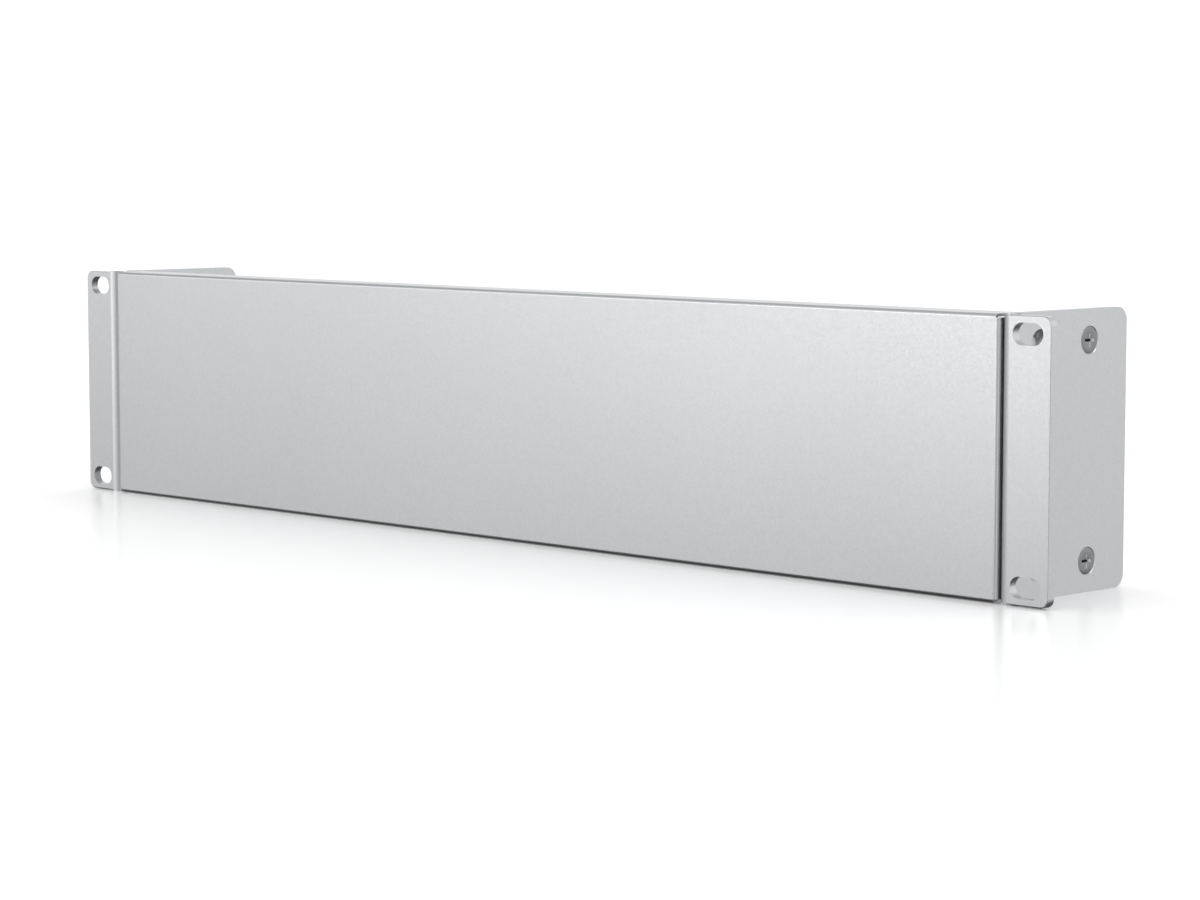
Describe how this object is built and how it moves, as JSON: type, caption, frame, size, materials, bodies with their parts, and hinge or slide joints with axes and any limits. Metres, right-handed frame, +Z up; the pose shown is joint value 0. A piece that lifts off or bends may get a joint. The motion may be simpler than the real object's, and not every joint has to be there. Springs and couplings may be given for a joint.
{
  "type": "rack blanking panel",
  "caption": "Blank front panel for a nineteen-inch rack: a shallow folded pan held by screws between two folded ears with oblong rack slots.",
  "frame": {"origin": "centre of the four rack slots, on the plane where the ears' flanges meet the rack rails", "axes": "+X across the rack to the right as seen from the front, +Y back into the rack, +Z up"},
  "size_m": [0.4826, 0.06, 0.088],
  "materials": {
    "silver_coat": "fine satin silver coat over folded steel sheet",
    "screw_steel": "satin grey plated steel"
  },
  "bodies": {
    "root": {"fascia_pan": "silver_coat", "left_ear": "silver_coat", "right_ear": "silver_coat", "left_upper_screw": "screw_steel", "left_lower_screw": "screw_steel", "right_upper_screw": "screw_steel", "right_lower_screw": "screw_steel"}
  },
  "joints": []
}
